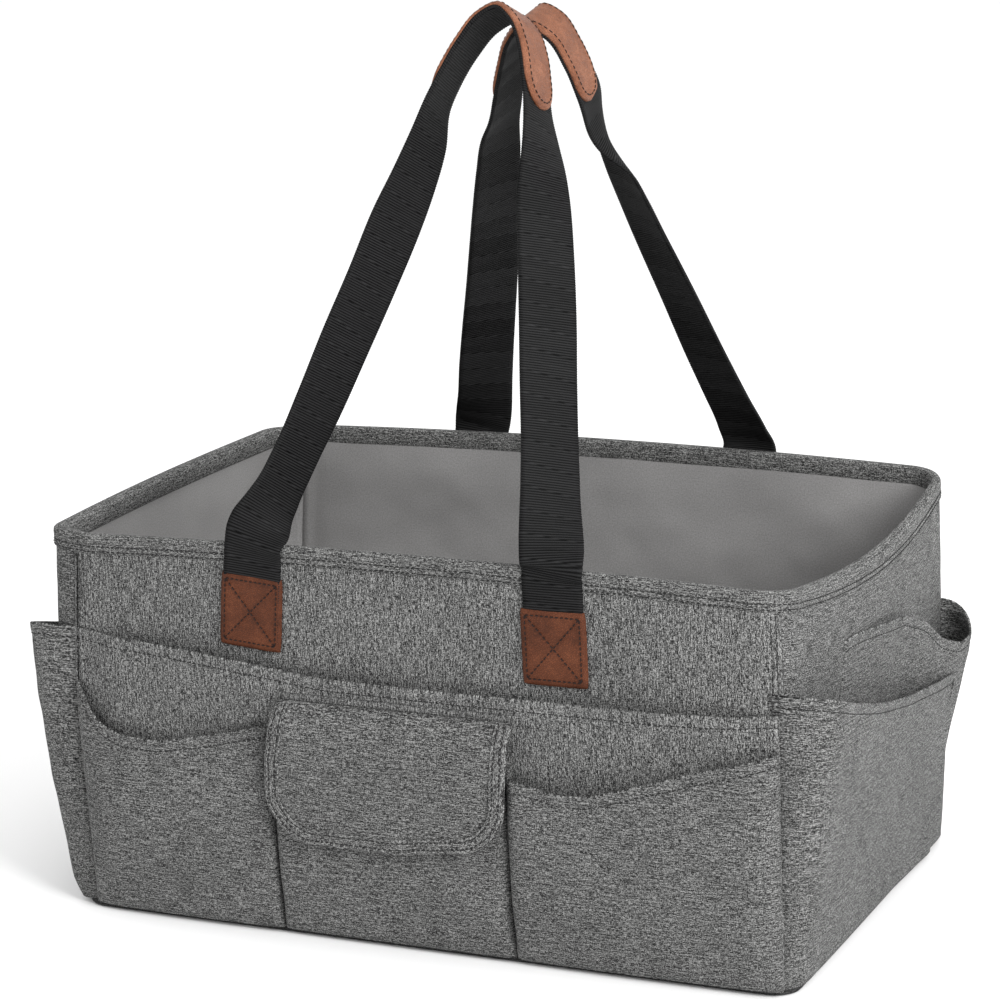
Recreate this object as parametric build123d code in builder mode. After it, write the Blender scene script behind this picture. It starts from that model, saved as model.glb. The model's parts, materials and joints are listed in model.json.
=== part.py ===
from build123d import *

import os
from math import cos, radians, sin

# Craft caddy bag: a boxy open tote with wall pockets all round and two long webbing handles.
# Millimetres. Origin at the middle of the underside, +X along the length, the front is -Y, +Z up.

# ---- driving dimensions ----
LENGTH = 396.0  # outside of the box walls, along X
WIDTH = 272.0  # outside of the box walls, along Y
HEIGHT = 206.0  # floor to the bound rim
CORNER = 12.0  # outer radius of the box's upright corners
FABRIC = 0.8  # outer cloth
BOARD = 2.3  # stiffener board in each wall
BASE_BOARD = 3.0
LINING = 0.5
PLY = 0.05  # air between two layers of the wall
BINDING = 0.6  # cloth of the rim binding
BINDING_DEPTH = 11.0  # how far the rim binding comes down each face
WEBBING_WIDTH = 32.0  # 1 1/4 inch webbing
WEBBING = 1.6
PATCH = (35.0, 38.0, 3.65)  # leather anchor patch: width, height, thickness over the strap
PATCH_CENTRE = (80.0, 170.5)  # distance from the middle of the wall, height
LEAN = 25.0  # how far each handle leans in from upright, degrees
LEATHER = 2.0
BASE_SEAM = (0.5, 3.0, 1.6)  # bound seam round the foot: bottom, top and how far it stands out
SEAM_FOOT = 3.2  # the pockets start above the base seam binding

# ---- worked out ----
HALF = {"front": WIDTH / 2, "back": WIDTH / 2, "left": LENGTH / 2, "right": LENGTH / 2}
BOARD_OUT = FABRIC + PLY
BOARD_IN = BOARD_OUT + BOARD
LINING_OUT = BOARD_IN + PLY
LINING_IN = LINING_OUT + LINING
SEAM_X = LENGTH / 2 - CORNER  # the upright seams lie where the corners start
WALL_TOP = HEIGHT - BINDING - 0.1
FLOOR = 1.2  # underside cloth
BASE_TOP = FLOOR + BASE_BOARD
STRAP_GAP = 0.05  # between the rim binding and a strap
STRAP_OUT = WIDTH / 2 + BINDING + STRAP_GAP + WEBBING / 2  # middle of a strap's thickness

# Each wall is drawn on its own upright plane: local x runs along the wall, local y is up,
# and the plane's normal points out of the bag.
WALLS = {
    "front": Plane.XZ,
    "back": Plane(origin=(0, 0, 0), x_dir=(-1, 0, 0), z_dir=(0, 1, 0)),
    "right": Plane.YZ,
    "left": Plane(origin=(0, 0, 0), x_dir=(0, -1, 0), z_dir=(-1, 0, 0)),
}


def plan(wall, height):
    """A level plane at a height: local x along the wall, local y out of the bag, normal down."""
    return Plane(origin=(0, 0, height), x_dir=WALLS[wall].x_dir, z_dir=(0, 0, -1))


def save(piece, node):
    piece.part.label = node
    export_step(piece.part, f"parts/{node}.step")


# ---- the box ----
def slab(wall, half_span, inset, thickness, bottom, top):
    """A flat layer of one wall, its outer face inset from the outside of the box."""
    with BuildPart() as layer:
        with BuildSketch(plan(wall, top)):
            with Locations((0, HALF[wall] - inset - thickness / 2)):
                Rectangle(2 * half_span, thickness)
        extrude(amount=top - bottom)
    return layer


def end_layer(wall, inset, thickness, bottom, top):
    """A layer of a short wall that turns round both corners to the upright seams."""
    outside = (LENGTH - 2 * inset, WIDTH - 2 * inset)
    middle = (HALF[wall] + SEAM_X) / 2
    with BuildPart() as layer:
        with BuildSketch(Plane.XY.offset(bottom)):
            RectangleRounded(*outside, CORNER - inset)
            RectangleRounded(
                outside[0] - 2 * thickness, outside[1] - 2 * thickness, CORNER - inset - thickness,
                mode=Mode.SUBTRACT,
            )
            with Locations((middle if wall == "right" else -middle, 0)):
                Rectangle(HALF[wall] - SEAM_X, WIDTH, mode=Mode.INTERSECT)
        extrude(amount=top - bottom)
    return layer


def tray(inset, bottom, top):
    """A flat rounded sheet of the base."""
    with BuildPart() as sheet:
        with BuildSketch(Plane.XY.offset(bottom)):
            RectangleRounded(LENGTH - 2 * inset, WIDTH - 2 * inset, CORNER - inset)
        extrude(amount=top - bottom)
    return sheet


def ring(out_by, in_by, bottom, top):
    """A band that follows the box's outline, from out_by outside it to in_by inside it."""
    with BuildPart() as band:
        with BuildSketch(Plane.XY.offset(bottom)):
            RectangleRounded(LENGTH + 2 * out_by, WIDTH + 2 * out_by, CORNER + out_by)
            RectangleRounded(
                LENGTH - 2 * in_by, WIDTH - 2 * in_by, CORNER - in_by, mode=Mode.SUBTRACT
            )
        extrude(amount=top - bottom)
    return band


def box_layers():
    for wall in ("front", "back"):
        save(slab(wall, SEAM_X, 0, FABRIC, FLOOR, WALL_TOP), f"outer_{wall}_panel")
        save(slab(wall, SEAM_X - 1, BOARD_OUT, BOARD, BASE_TOP, HEIGHT - 3), f"{wall}_board")
        save(slab(wall, SEAM_X, LINING_OUT, LINING, BASE_TOP, WALL_TOP), f"lining_{wall}_panel")
    for wall in ("left", "right"):
        half_span = WIDTH / 2 - CORNER
        save(end_layer(wall, 0, FABRIC, FLOOR, WALL_TOP), f"outer_{wall}_panel")
        save(slab(wall, half_span, BOARD_OUT, BOARD, BASE_TOP, HEIGHT - 3), f"{wall}_board")
        save(end_layer(wall, LINING_OUT, LINING, BASE_TOP, WALL_TOP), f"lining_{wall}_panel")
    save(tray(0, 0, FLOOR), "outer_base_panel")
    save(tray(BOARD_OUT, FLOOR, BASE_TOP), "base_board")
    save(tray(LINING_IN + PLY, BASE_TOP, BASE_TOP + LINING), "lining_base_panel")


def rim_binding():
    """A folded strip over the rim: its outer and inner legs and the fold on top."""
    low = HEIGHT - BINDING_DEPTH
    legs = ring(PLY, LINING_IN + PLY, low, HEIGHT - BINDING)
    binding = ring(BINDING, LINING_IN + BINDING, low, HEIGHT)
    with binding:
        add(legs.part, mode=Mode.SUBTRACT)
    return binding


# ---- wall pockets ----
POCKET_TOP = 180.0  # the height at which a pocket's upper depths are given


def pocket_section(wall, height, ends, near, far, corner):
    """Level section of a pocket: straight along the wall, rounded at its two outer corners."""
    share = height / POCKET_TOP
    inner = near[0] + (near[1] - near[0]) * share
    outer = far[0] + (far[1] - far[0]) * share
    with BuildSketch(plan(wall, height)) as level:
        with BuildLine():
            FilletPolyline(
                (ends[0], inner), (ends[0], outer), (ends[1], outer), (ends[1], inner), radius=corner
            )
            Line((ends[1], inner), (ends[0], inner))
        make_face()
    return level.sketch


def pocket(wall, ends, near, far, lip, corner=4.0, foot=SEAM_FOOT):
    """A pocket sewn to the wall along its sides and foot, and cut along its lip.

    near and far are the distances from the middle of the bag of the surface that the pocket
    is sewn to and of its own outer face, each at floor level and at POCKET_TOP.
    """
    inside_ends = (ends[0] + FABRIC, ends[1] - FABRIC)
    sewn_near = (near[0] - CORNER, near[1] - CORNER)
    inside_near = (sewn_near[0] - CORNER, sewn_near[1] - CORNER)
    inside_far = (far[0] - FABRIC, far[1] - FABRIC)
    body = tray(-PLY, 0, HEIGHT)
    with BuildPart() as panel:
        loft([
            pocket_section(wall, height, ends, sewn_near, far, corner)
            for height in (foot, POCKET_TOP)
        ])
        loft(
            [
                pocket_section(wall, height, inside_ends, inside_near, inside_far, corner - FABRIC)
                for height in (foot + FABRIC, POCKET_TOP + 1)
            ],
            mode=Mode.SUBTRACT,
        )
        with BuildSketch(WALLS[wall].offset(near[0] - 2 * CORNER)):
            with BuildLine():
                Spline(*lip)
                Polyline(lip[-1], (lip[-1][0], HEIGHT), (lip[0][0], HEIGHT), lip[0])
            make_face()
        extrude(amount=100, mode=Mode.SUBTRACT)
        add(body.part, mode=Mode.SUBTRACT)
    return panel


def trimmed(panel, wall, ends, near):
    """Cut a pocket's flanges back to the face of the pocket panel that it is sewn to."""
    with panel:
        loft(
            [
                pocket_section(wall, height, ends, (near[0] - 2 * CORNER, near[1] - 2 * CORNER), near, 1)
                for height in (0, POCKET_TOP + 1)
            ],
            mode=Mode.SUBTRACT,
        )
    return panel


LONG_ENDS = (-191.0, 191.0)
LONG_FACE = (WIDTH / 2 + 1.3, WIDTH / 2 + 9.4)  # long pocket's outer face, at the floor and above
SMALL_SEWN = (LONG_FACE[0] + PLY, LONG_FACE[1] + PLY)
SMALL_FACE = {
    "left": (WIDTH / 2 + 6.0, WIDTH / 2 + 21.0),
    "centre": (WIDTH / 2 + 6.0, WIDTH / 2 + 20.5),
    "right": (WIDTH / 2 + 6.0, WIDTH / 2 + 23.0),
}
LONG_LIP = [(-200, 157), (-133, 150), (-48, 140), (113, 140.5), (200, 145)]
# ends along the wall and lip line of the three lower pockets, left to right seen from the front
SMALL_POCKETS = {
    "left": ((-189.0, -77.5), [(-200, 140), (-175, 108), (-140, 102), (-110, 108), (-70, 119)]),
    "centre": ((-76.5, 53.5), [(-85, 114), (-50, 111), (30, 111), (62, 113)]),
    "right": ((54.5, 189.0), [(48, 104), (85, 96.5), (121, 104), (161, 117), (198, 127)]),
}
CENTRE_FACE = SMALL_FACE["centre"]


def long_walls_pockets():
    for wall in ("front", "back"):
        long_pocket = pocket(wall, LONG_ENDS, (WIDTH / 2, WIDTH / 2), LONG_FACE, LONG_LIP, 2.0)
        save(long_pocket, f"{wall}_long_pocket_panel")
        for name, (ends, lip) in SMALL_POCKETS.items():
            small = pocket(wall, ends, SMALL_SEWN, SMALL_FACE[name], lip)
            small = trimmed(small, wall, (-196.0, 196.0), SMALL_SEWN)
            save(small, f"{wall}_{name}_pocket_panel")


def short_walls_pockets():
    """On each end: a deep pocket, and an outer pocket that wraps the whole end in front of it."""
    wall_face = LENGTH / 2
    inner_face = (wall_face + 3.0, wall_face + 21.0)
    outer_face = (wall_face + 5.0, wall_face + 35.0)
    inner_foot = SEAM_FOOT + FABRIC + PLY
    for wall, rear in (("right", 1), ("left", -1)):
        inner_ends = sorted((-97.0 * rear, 118.0 * rear))
        inner_lip = [(-140 * rear, 175), (-60 * rear, 167), (40 * rear, 158), (140 * rear, 146)]
        outer_lip = [(-140, 158), (-90, 137), (0, 126), (90, 137), (140, 158)]
        faces = (wall_face, wall_face)
        inner = pocket(wall, inner_ends, faces, inner_face, sorted(inner_lip), 4.0, inner_foot)
        save(inner, f"{wall}_end_inner_pocket_panel")
        outer = pocket(wall, (-131.0, 131.0), faces, outer_face, outer_lip, 10.0)
        save(outer, f"{wall}_end_outer_pocket_panel")


# ---- the flap over the front centre pocket ----
FLAP_SIDES = (-71.0, 57.0)
FLAP_TOP = 129.0
FLAP_FOOT = (60.0, 63.0)  # height of the lower edge at its left and right ends
FLAP = 1.2
FLAP_RADIUS = 25.0  # its lower corners
FLAP_BINDING = (7.0, 0.5)  # how far it comes in from the edge, and its cloth
FLAP_BINDING_TOP = 124.0
FLAP_FOLD = 113.0  # the flap turns down at this height, just clear of the pocket's lip
FLAP_HINGE_OUT = WIDTH / 2 + 8.8
HANG = 3.4  # the flap's middle stands this far off the pocket's face, clear of the tapes
TAPE = 1.0
TAPE_SPAN = (-27.0, 13.0)  # left and right end along the wall
TAPE_HEIGHTS = (74.0, 90.0)


def centre_face(height):
    """Distance of the centre pocket's face from the middle of the bag at a height."""
    return CENTRE_FACE[0] + (CENTRE_FACE[1] - CENTRE_FACE[0]) * height / POCKET_TOP


def flap_sheet(thickness):
    """The flap's side profile, run along the wall: out over the pocket's lip, then down."""
    with BuildPart() as sheet:
        with BuildSketch(Plane.YZ.offset(FLAP_SIDES[0] - 5)):
            with BuildLine() as profile:
                Polyline(
                    (-FLAP_HINGE_OUT, FLAP_TOP),
                    (-centre_face(FLAP_FOLD) - HANG, FLAP_FOLD),
                    (-centre_face(FLAP_FOOT[0] - 10) - HANG, FLAP_FOOT[0] - 10),
                )
            trace(line_width=thickness)
        extrude(amount=FLAP_SIDES[1] - FLAP_SIDES[0] + 10)
    return sheet


def flap_outline(shrink, top):
    """The flap seen from the front, its lower corners rounded, drawn in by shrink."""
    top_left = (FLAP_SIDES[0] + shrink, top)
    top_right = (FLAP_SIDES[1] - shrink, top)
    low_left = (top_left[0], FLAP_FOOT[0] + shrink)
    low_right = (top_right[0], FLAP_FOOT[1] + shrink)
    with BuildPart() as outline:
        with BuildSketch(WALLS["front"].offset(WIDTH / 2 - 5)):
            with BuildLine():
                FilletPolyline(top_left, low_left, low_right, top_right, radius=FLAP_RADIUS - shrink)
                Line(top_right, top_left)
            make_face()
        extrude(amount=40)
    return outline


def flap_pieces():
    edge, cloth = FLAP_BINDING
    flap = flap_sheet(FLAP)
    with flap:
        add(flap_outline(0, HEIGHT).part, mode=Mode.INTERSECT)
    binding = flap_sheet(FLAP + 2 * cloth)
    with binding:
        add(flap_outline(-cloth, FLAP_BINDING_TOP).part, mode=Mode.INTERSECT)
        add(flap_outline(edge, HEIGHT).part, mode=Mode.SUBTRACT)
        add(flap.part, mode=Mode.SUBTRACT)
    save(flap, "pocket_flap")
    save(binding, "flap_binding")


def closure_tapes():
    """Hook tape under the flap and loop tape on the pocket that it presses on."""
    low, high = TAPE_HEIGHTS
    starts = {"flap_hook_tape": HANG - FLAP / 2 - TAPE - 0.1, "pocket_loop_tape": 0.0}
    for node, start in starts.items():
        with BuildPart() as strip:
            with BuildSketch(Plane.YZ.offset(TAPE_SPAN[0])):
                with BuildLine():
                    Polyline(
                        (-centre_face(low) - start, low),
                        (-centre_face(high) - start, high),
                        (-centre_face(high) - start - TAPE, high),
                        (-centre_face(low) - start - TAPE, low),
                        close=True,
                    )
                make_face()
            extrude(amount=TAPE_SPAN[1] - TAPE_SPAN[0])
        save(strip, node)


# ---- handles ----
def handle_plane(wall):
    """The plane that a handle lies in: local x along X, local y up the lean, origin at the rim."""
    out = -1 if wall == "front" else 1
    normal = (0, out * cos(radians(LEAN)), sin(radians(LEAN)))
    return Plane(origin=(0, out * STRAP_OUT, HEIGHT), x_dir=(-out, 0, 0), z_dir=normal)


# Middle line of each moving strap in its handle's plane, (along X, up the lean), left to right.
# The top is a pointed arch that the hand closes round.
HANDLE_LINES = {
    "front": [
        (-80, 1.2), (-77, 30), (-66, 66), (-50, 110), (-37, 150), (-28, 186), (-22, 214), (-17, 238),
        (-9, 260), (1, 276), (11, 284), (20, 279), (28, 263), (34, 240), (38, 214), (43, 186),
        (52, 150), (60, 110), (69, 66), (75, 30), (80, 1.2),
    ],
    "back": [
        (-80, 1.2), (-72, 30), (-62, 66), (-50, 110), (-38, 150), (-28, 186), (-20, 214), (-13, 238),
        (-6, 258), (2, 272), (11, 278), (20, 273), (28, 258), (33, 238), (36, 214), (38, 186),
        (46, 150), (57, 110), (67, 66), (75, 30), (80, 1.2),
    ],
}
FLAT_UP_TO = 4  # sections from the rim in which the strap lies flat in the plane
TWISTED_BY = 7  # sections from the rim by which it has turned a quarter to face outward


def strap_turn(index, count):
    """Quarter turn of the strap's face, from flat near the rim to outward at the grip."""
    step = min(index, count - 1 - index)
    share = (step - FLAT_UP_TO) / (TWISTED_BY - FLAT_UP_TO)
    return 90 * min(max(share, 0), 1)


def strap_section(plane, line, index, width, thickness, out_by=0.0):
    """Rectangle across the strap at one point of its middle line, on a plane square to the line."""
    count = len(line)
    here = Vector(*line[index])
    before = Vector(*line[max(index - 1, 0)])
    after = Vector(*line[min(index + 1, count - 1)])
    run = (after - before).normalized()
    if index in (0, count - 1):
        run = Vector(0, 1 if index == 0 else -1)
    outward = Vector(-run.Y, run.X)  # left of the way of travel: away from the arch's inside
    turn = radians(strap_turn(index, count))
    face = outward * sin(turn) + Vector(0, 0, 1) * cos(turn)
    centre = here + face * out_by
    section_plane = Plane(
        origin=plane.from_local_coords(centre),
        x_dir=plane.from_local_coords(face) - plane.origin,
        z_dir=plane.from_local_coords(run) - plane.origin,
    )
    with BuildSketch(section_plane) as section:
        Rectangle(thickness, width)
    return section.sketch


def strap(plane, line, steps, thickness, out_by):
    """A strap along a middle line, one straight-sided span for each step."""
    with BuildPart() as band:
        for index in steps:
            ends = [
                strap_section(plane, line, place, WEBBING_WIDTH - 1, thickness, out_by)
                for place in (index, index + 1)
            ]
            loft(ends, ruled=True)
    return band


def handle(wall):
    plane = handle_plane(wall)
    line = HANDLE_LINES[wall]
    if wall == "back":
        line = [(-x, up) for x, up in reversed(line)]
    last = len(line) - 1
    out_by = (WEBBING + LEATHER) / 2 + PLY
    webbing = strap(plane, line, range(last), WEBBING, 0)
    grip = strap(plane, line, range(TWISTED_BY, last - TWISTED_BY), LEATHER, out_by)
    save(webbing, f"{wall}_handle_webbing")
    save(grip, f"{wall}_handle_grip")


def strap_ends_and_patches():
    """The sewn ends of each strap, and the leather patch stitched over each."""
    width, height, thickness = PATCH
    across, middle = PATCH_CENTRE
    strap_top = HEIGHT - 2
    strap_low = middle - height / 2 + 3
    passage = (WEBBING_WIDTH + 0.1, 4.6)  # width and depth that the strap takes up under a patch
    for wall in ("front", "back"):
        for name, place in (("left", -across), ("right", across)):
            local = place if wall == "front" else -place
            with BuildPart() as strap:
                with BuildSketch(plan(wall, strap_top)):
                    with Locations((local, STRAP_OUT)):
                        Rectangle(WEBBING_WIDTH, WEBBING)
                extrude(amount=strap_top - strap_low)
            save(strap, f"{wall}_{name}_strap_end")
            with BuildPart() as patch:
                with BuildSketch(WALLS[wall].offset(WIDTH / 2 + PLY)):
                    with Locations((local, middle)):
                        RectangleRounded(width, height, 1.5)
                extrude(amount=thickness)
                with BuildSketch(plan(wall, HEIGHT)):
                    with Locations((local, WIDTH / 2 + PLY)):
                        Rectangle(*passage)
                extrude(amount=HEIGHT - strap_low + 0.1, mode=Mode.SUBTRACT)
            save(patch, f"{wall}_{name}_anchor_patch")


def build():
    os.makedirs("parts", exist_ok=True)
    box_layers()
    save(rim_binding(), "rim_binding")
    seam_bottom, seam_top, seam_out = BASE_SEAM
    save(ring(seam_out, -PLY, seam_bottom, seam_top), "base_seam_binding")
    long_walls_pockets()
    short_walls_pockets()
    flap_pieces()
    closure_tapes()
    for wall in ("front", "back"):
        handle(wall)
    strap_ends_and_patches()


build()
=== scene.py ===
import json
import math

import bpy
import numpy as np
from mathutils import Matrix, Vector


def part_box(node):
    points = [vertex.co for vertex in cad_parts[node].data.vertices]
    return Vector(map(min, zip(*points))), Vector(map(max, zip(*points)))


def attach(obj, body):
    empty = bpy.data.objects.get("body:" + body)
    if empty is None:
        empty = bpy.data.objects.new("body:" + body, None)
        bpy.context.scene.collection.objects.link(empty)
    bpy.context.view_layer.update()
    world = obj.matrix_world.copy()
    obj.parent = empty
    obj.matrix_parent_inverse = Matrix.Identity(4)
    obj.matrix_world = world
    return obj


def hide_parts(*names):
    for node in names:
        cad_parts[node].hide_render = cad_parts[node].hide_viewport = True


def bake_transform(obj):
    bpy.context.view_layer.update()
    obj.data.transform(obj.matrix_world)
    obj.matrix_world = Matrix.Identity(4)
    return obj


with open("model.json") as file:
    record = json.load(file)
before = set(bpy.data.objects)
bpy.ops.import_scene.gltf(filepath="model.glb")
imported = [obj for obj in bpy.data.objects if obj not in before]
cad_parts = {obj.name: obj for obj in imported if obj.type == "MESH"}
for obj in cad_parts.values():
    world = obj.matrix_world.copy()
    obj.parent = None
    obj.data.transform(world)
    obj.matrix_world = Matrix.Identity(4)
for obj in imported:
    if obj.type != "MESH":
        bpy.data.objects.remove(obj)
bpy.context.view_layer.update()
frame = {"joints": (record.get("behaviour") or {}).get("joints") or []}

# Shapes are worked out in millimetres, in the frame's axes, and written as metres.
MM = 0.001


def cad(node):
    """Lowest and highest corner of a CAD node, in millimetres."""
    low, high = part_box(node)
    return np.array(low) / MM, np.array(high) / MM


HALF_LENGTH = cad("outer_right_panel")[1][0]
HALF_WIDTH = -cad("outer_front_panel")[0][1]
SEAM_X = cad("outer_front_panel")[1][0]
CORNER = HALF_LENGTH - SEAM_X
RIM = cad("rim_binding")[1][2]
CLOTH = 0.8
BOARD_OUT = HALF_WIDTH + cad("front_board")[0][1]
BOARD_IN = HALF_WIDTH + cad("front_board")[1][1]
LINING_OUT = HALF_WIDTH + cad("lining_front_panel")[0][1]
LINING_IN = HALF_WIDTH + cad("lining_front_panel")[1][1]
FLOOR_TOP = cad("base_board")[1][2]
HINGE = {j["child"]: np.array(j["pos_m"]) / MM for j in frame["joints"]}

# ---------------------------------------------------------------- mesh helpers


def blur(values, reach):
    """Running average of a row of values, its ends held."""
    padded = np.pad(values, reach, mode="edge")
    kernel = np.hanning(2 * reach + 1)
    return np.convolve(padded, kernel / kernel.sum(), mode="valid")


def curve(*points):
    """A smooth function through about these (place, value) points."""
    places = np.array([p[0] for p in points], float)
    values = np.array([p[1] for p in points], float)
    fine = np.linspace(places[0], places[-1], 400)
    rounded = blur(np.interp(fine, places, values), 14)
    return lambda at: np.interp(at, fine, rounded)


def ease(x):
    """0 below 0, 1 above 1 and a smooth step between."""
    x = np.clip(x, 0, 1)
    return x * x * (3 - 2 * x)


def unit(vectors):
    return vectors / np.maximum(np.linalg.norm(vectors, axis=-1, keepdims=True), 1e-12)


def lattice(ix, iy, iz, seed):
    """Repeatable random numbers from -1 to 1, one for each lattice point."""
    mix = (ix * 374761393 + iy * 668265263 + iz * 1442695041 + seed * 1274126177) & 0xFFFFFFFF
    mix = ((mix ^ (mix >> 13)) * 1274126177) & 0xFFFFFFFF
    return ((mix ^ (mix >> 16)) & 0xFFFF) / 32767.5 - 1


def noise(points, size, seed):
    """Smooth random values over space; size is the spacing of the swells along each axis."""
    scaled = points / np.asarray(size, float)
    cell = np.floor(scaled).astype(np.int64)
    part = scaled - cell
    part = part * part * (3 - 2 * part)
    total = 0
    for dx in (0, 1):
        for dy in (0, 1):
            for dz in (0, 1):
                weight = (
                    (part[..., 0] if dx else 1 - part[..., 0])
                    * (part[..., 1] if dy else 1 - part[..., 1])
                    * (part[..., 2] if dz else 1 - part[..., 2])
                )
                total = total + weight * lattice(
                    cell[..., 0] + dx, cell[..., 1] + dy, cell[..., 2] + dz, seed
                )
    return total


def normals(grid):
    """Unit normals of a grid of points, across its first axis by its second."""
    return unit(np.cross(np.gradient(grid, axis=0), np.gradient(grid, axis=1)))


def lengths(path):
    """Distance along a line of points, for each point."""
    return np.concatenate([[0], np.cumsum(np.linalg.norm(np.diff(path, axis=0), axis=1))])


def sample(values, along, places):
    """Rows of values, known at distances along a line, read at other places on it."""
    return np.stack([np.interp(places, along, column) for column in values.T], axis=-1)


def make_mesh(name, points, faces, material, uv=None):
    """A mesh piece from millimetre points; uv gives one pair for each point."""
    mesh = bpy.data.meshes.new(name)
    mesh.from_pydata((np.asarray(points) * MM).tolist(), [], [list(map(int, f)) for f in faces])
    if uv is not None:
        layer = mesh.uv_layers.new(name="cloth")
        corners = np.zeros(len(mesh.loops), np.int32)
        mesh.loops.foreach_get("vertex_index", corners)
        layer.data.foreach_set("uv", (np.asarray(uv)[corners] * MM).astype(np.float32).ravel())
    mesh.polygons.foreach_set("use_smooth", np.ones(len(mesh.polygons), bool))
    mesh.materials.append(material)
    mesh.update()
    piece = bpy.data.objects.new(name, mesh)
    bpy.context.scene.collection.objects.link(piece)
    return piece


def put(piece, slot, *nodes, body="bag", bend=None):
    """Hide the CAD nodes that a piece shows, and attach it to the body that it moves with, or bake its
    transform in when it has a bend. slot is not used.
    """
    if nodes:
        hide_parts(*nodes)
    if bend:
        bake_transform(piece)
    else:
        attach(piece, body)
    return piece


def quads(rows, columns, start=0, wrap=False, flip=False):
    """Faces of a grid of points that were laid out row after row."""
    faces = []
    for i in range(rows if wrap else rows - 1):
        a, b = i * columns + start, (i + 1) % rows * columns + start
        for j in range(columns - 1):
            face = (a + j, b + j, b + j + 1, a + j + 1)
            faces.append(face[::-1] if flip else face)
    return faces


def ring_faces(rows, columns, wrap=False, flip=False):
    """Faces of closed rings of points that were laid out ring after ring."""
    faces = []
    for i in range(rows if wrap else rows - 1):
        a, b = i * columns, (i + 1) % rows * columns
        for j in range(columns):
            k = (j + 1) % columns
            faces.append((a + j, b + j, b + k, a + k) if flip else (a + j, a + k, b + k, b + j))
    return faces


def shell(name, grid, thickness, uv, material, lip_round=0.35, facing=None):
    """A closed sheet: the grid is its outer face, and its last column is a rounded lip."""
    rows, columns = grid.shape[:2]
    thick = np.broadcast_to(thickness, (rows, columns))[..., None]
    inner = grid - (normals(grid) if facing is None else facing) * thick
    crest = (grid[:, -1] + inner[:, -1]) / 2
    crest = crest + unit(grid[:, -1] - grid[:, -2]) * thick[:, -1] * lip_round
    count = rows * columns
    points = np.concatenate([grid.reshape(-1, 3), inner.reshape(-1, 3), crest])
    uvs = np.concatenate([uv.reshape(-1, 2), uv.reshape(-1, 2), uv[:, -1]])
    faces = quads(rows, columns) + quads(rows, columns, count, flip=True)
    last = columns - 1
    for i in range(rows - 1):
        here, there = i * columns, (i + 1) * columns
        faces.append((there, here, here + count, there + count))
        top, next_top = 2 * count + i, 2 * count + i + 1
        faces.append((here + last, there + last, next_top, top))
        faces.append((top, next_top, there + last + count, here + last + count))
    for j in range(last):
        faces.append((j, j + 1, j + 1 + count, j + count))
        end = (rows - 1) * columns + j
        faces.append((end + 1, end, end + count, end + 1 + count))
    faces.append((last, 2 * count, last + count))
    end = rows * columns - 1
    faces.append((end, end + count, 2 * count + rows - 1))
    return make_mesh(name, points, faces, material, uvs)


def sweep(name, path, across, face, section, material):
    """A closed section carried along a path, with both ends closed.

    across and face are the section's own axes at each path point; section is a loop of
    (across, face) distances, one loop for all or one for each path point.
    """
    rows = len(path)
    section = np.broadcast_to(section, (rows,) + np.shape(section)[-2:])
    columns = section.shape[1]
    grid = path[:, None] + across[:, None] * section[..., :1] + face[:, None] * section[..., 1:]
    uv = np.stack(np.broadcast_arrays(section[0, :, 0], lengths(path)[:, None]), axis=-1)
    points, uvs = grid.reshape(-1, 3), uv.reshape(-1, 2)
    faces = ring_faces(rows, columns)
    for row, turn in ((0, -1), (rows - 1, 1)):
        middle = len(points)
        points = np.concatenate([points, grid[row].mean(axis=0)[None]])
        uvs = np.concatenate([uvs, uv[row].mean(axis=0)[None]])
        ring = [row * columns + j for j in range(columns)][::turn]
        faces += [(ring[j], ring[(j + 1) % columns], middle) for j in range(columns)]
    return make_mesh(name, points, faces, material, uvs)


# a stitch's rings: how far along it each one is, and its size against the thread's radius
STITCH_RINGS = ((0.0, 0.25), (0.12, 0.8), (0.5, 1.0), (0.88, 0.8), (1.0, 0.25))
STITCH_SIDES = 6
STITCH_SINK = 0.65  # share of the radius that is pulled into the cloth


def stitches(name, runs, pitch, radius, material, gap=0.3):
    """Rows of thread, each stitch a short pillow. runs is a list of (path, normals)."""
    rings = len(STITCH_RINGS)
    share, size = np.array(STITCH_RINGS).T[:, :, None, None]
    angle = (np.arange(STITCH_SIDES) / STITCH_SIDES * 2 * math.pi)[:, None]
    points = []
    for path, facing in runs:
        along = lengths(path)
        count = max(int(along[-1] / pitch), 1)
        starts = (np.arange(count) + gap / 2) * along[-1] / count
        ends = starts + along[-1] / count * (1 - gap)
        first, last = sample(path, along, starts), sample(path, along, ends)
        up = unit(sample(facing, along, (starts + ends) / 2))
        side = unit(np.cross(last - first, up))
        first, last, up, side = (rows[:, None, None] for rows in (first, last, up, side))
        centre = first + (last - first) * share + up * radius * (size - STITCH_SINK)
        spread = side * np.cos(angle) + up * np.sin(angle)
        points.append((centre + spread * radius * size).reshape(-1, 3))
    points = np.concatenate(points)
    pillow = ring_faces(rings, STITCH_SIDES)
    pillow.append(tuple(range(STITCH_SIDES))[::-1])
    pillow.append(tuple((rings - 1) * STITCH_SIDES + k for k in range(STITCH_SIDES)))
    bases = range(0, len(points), rings * STITCH_SIDES)
    faces = [tuple(base + k for k in face) for base in bases for face in pillow]
    return make_mesh(name, points, faces, material)


# ---------------------------------------------------------------- materials


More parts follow.
